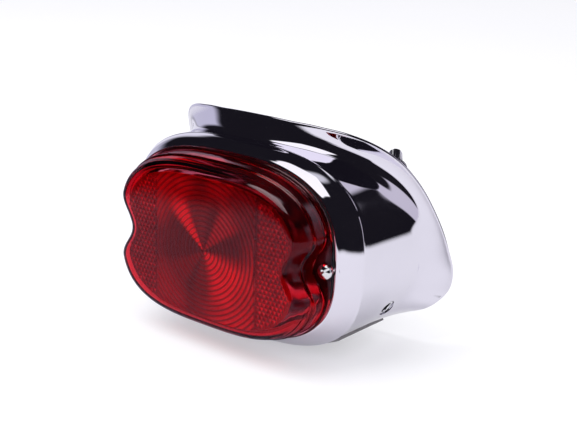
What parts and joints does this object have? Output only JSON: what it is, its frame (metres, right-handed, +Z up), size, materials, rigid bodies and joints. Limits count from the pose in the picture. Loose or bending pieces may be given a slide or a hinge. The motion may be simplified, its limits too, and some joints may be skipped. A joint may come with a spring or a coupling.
{
  "type": "motorcycle tail light",
  "caption": "Fender mounted tail light: rounded oval red lens with concentric ribs and side notches, in a flared chrome housing with a clear plate window, bayonet bulb and socket inside.",
  "frame": {"origin": "middle of the overall box; the centre of the lens rings on the lens seat plane is at (0, -0.025025, -0.00515)", "axes": "-Y the way the lens faces, +Y towards the fender, +Z up, +X to the right of someone looking at the lens"},
  "size_m": [0.1464, 0.0816, 0.0984],
  "materials": {
    "housing_chrome": "mirror polished chrome plate",
    "lens_red": "clear red moulded acrylic, glossy outside, ribbed inside",
    "seal_black": "matt black foam rubber",
    "window_clear": "clear moulded acrylic",
    "screw_chrome": "chrome plated screw",
    "steel_bright": "zinc plated steel",
    "reflector_bright": "bright plated reflector",
    "bulb_glass": "clear blown glass",
    "brass": "bright brass",
    "tungsten": "dull tungsten wire",
    "insulator_black": "black vitreous insulator",
    "solder": "soft solder",
    "phenolic": "brown phenolic board",
    "wire_blue": "blue vinyl sleeve",
    "wire_red": "red vinyl sleeve",
    "wire_black": "black vinyl sleeve"
  },
  "bodies": {
    "housing": {"housing_shell": "housing_chrome", "lens_gasket": "seal_black", "plate_light_window": "window_clear", "plate_window_seal_front": "seal_black", "plate_window_seal_rear": "seal_black", "reflector_plate": "reflector_bright", "reflector_screw_right": "steel_bright", "reflector_screw_left": "steel_bright", "socket_shell": "steel_bright", "socket_cup": "steel_bright", "contact_spring": "steel_bright", "wire_earth": "wire_black", "mounting_stud_right": "steel_bright", "mounting_stud_left": "steel_bright", "bracket_insert_right": "steel_bright", "bracket_insert_left": "steel_bright"},
    "lens_cover": {"lens": "lens_red"},
    "lens_screw_r": {"lens_screw_right": "screw_chrome"},
    "lens_screw_l": {"lens_screw_left": "screw_chrome"},
    "plunger": {"contact_plunger": "phenolic", "plunger_contact_tail": "brass", "plunger_contact_brake": "brass", "wire_tail": "wire_blue", "wire_brake": "wire_red"},
    "bulb": {"bulb_glass": "bulb_glass", "bulb_stem": "bulb_glass", "filament_tail": "tungsten", "filament_brake": "tungsten", "bulb_base": "brass", "bulb_insulator": "insulator_black", "bulb_contact_tail": "solder", "bulb_contact_brake": "solder"}
  },
  "joints": [
    {"name": "lens_lift", "type": "slide", "parent": "housing", "child": "lens_cover", "axis": [0, -1, 0], "range_m": [0, 0.0072]},
    {"name": "lens_screw_right_turn", "type": "hinge", "parent": "lens_cover", "child": "lens_screw_r", "pos_m": [0.0541, -0.02502, -0.00405], "axis": [0, -1, 0], "range_deg": [0, 3267.31]},
    {"name": "lens_screw_left_turn", "type": "hinge", "parent": "lens_cover", "child": "lens_screw_l", "pos_m": [-0.0541, -0.02502, -0.00405], "axis": [0, -1, 0], "range_deg": [0, 3267.31]},
    {"name": "bulb_push", "type": "slide", "parent": "housing", "child": "plunger", "axis": [0, 1, 0], "range_m": [0, 0.00242], "stiffness_N_per_m": 600, "springref_m": -0.004, "deforming": ["contact_spring"]},
    {"name": "bulb_twist", "type": "hinge", "parent": "plunger", "child": "bulb", "pos_m": [0, 0.00458, -0.00515], "axis": [0, -1, 0], "range_deg": [0, 22]}
  ],
  "couplings": [
    {"joint": "lens_screw_right_turn", "follows": "lens_lift", "rad_per_m": 7915.3},
    {"joint": "lens_screw_left_turn", "follows": "lens_lift", "rad_per_m": 7915.3},
    {"joint": "bulb_push", "follows": "bulb_twist", "m_per_rad": 0.0062504}
  ]
}
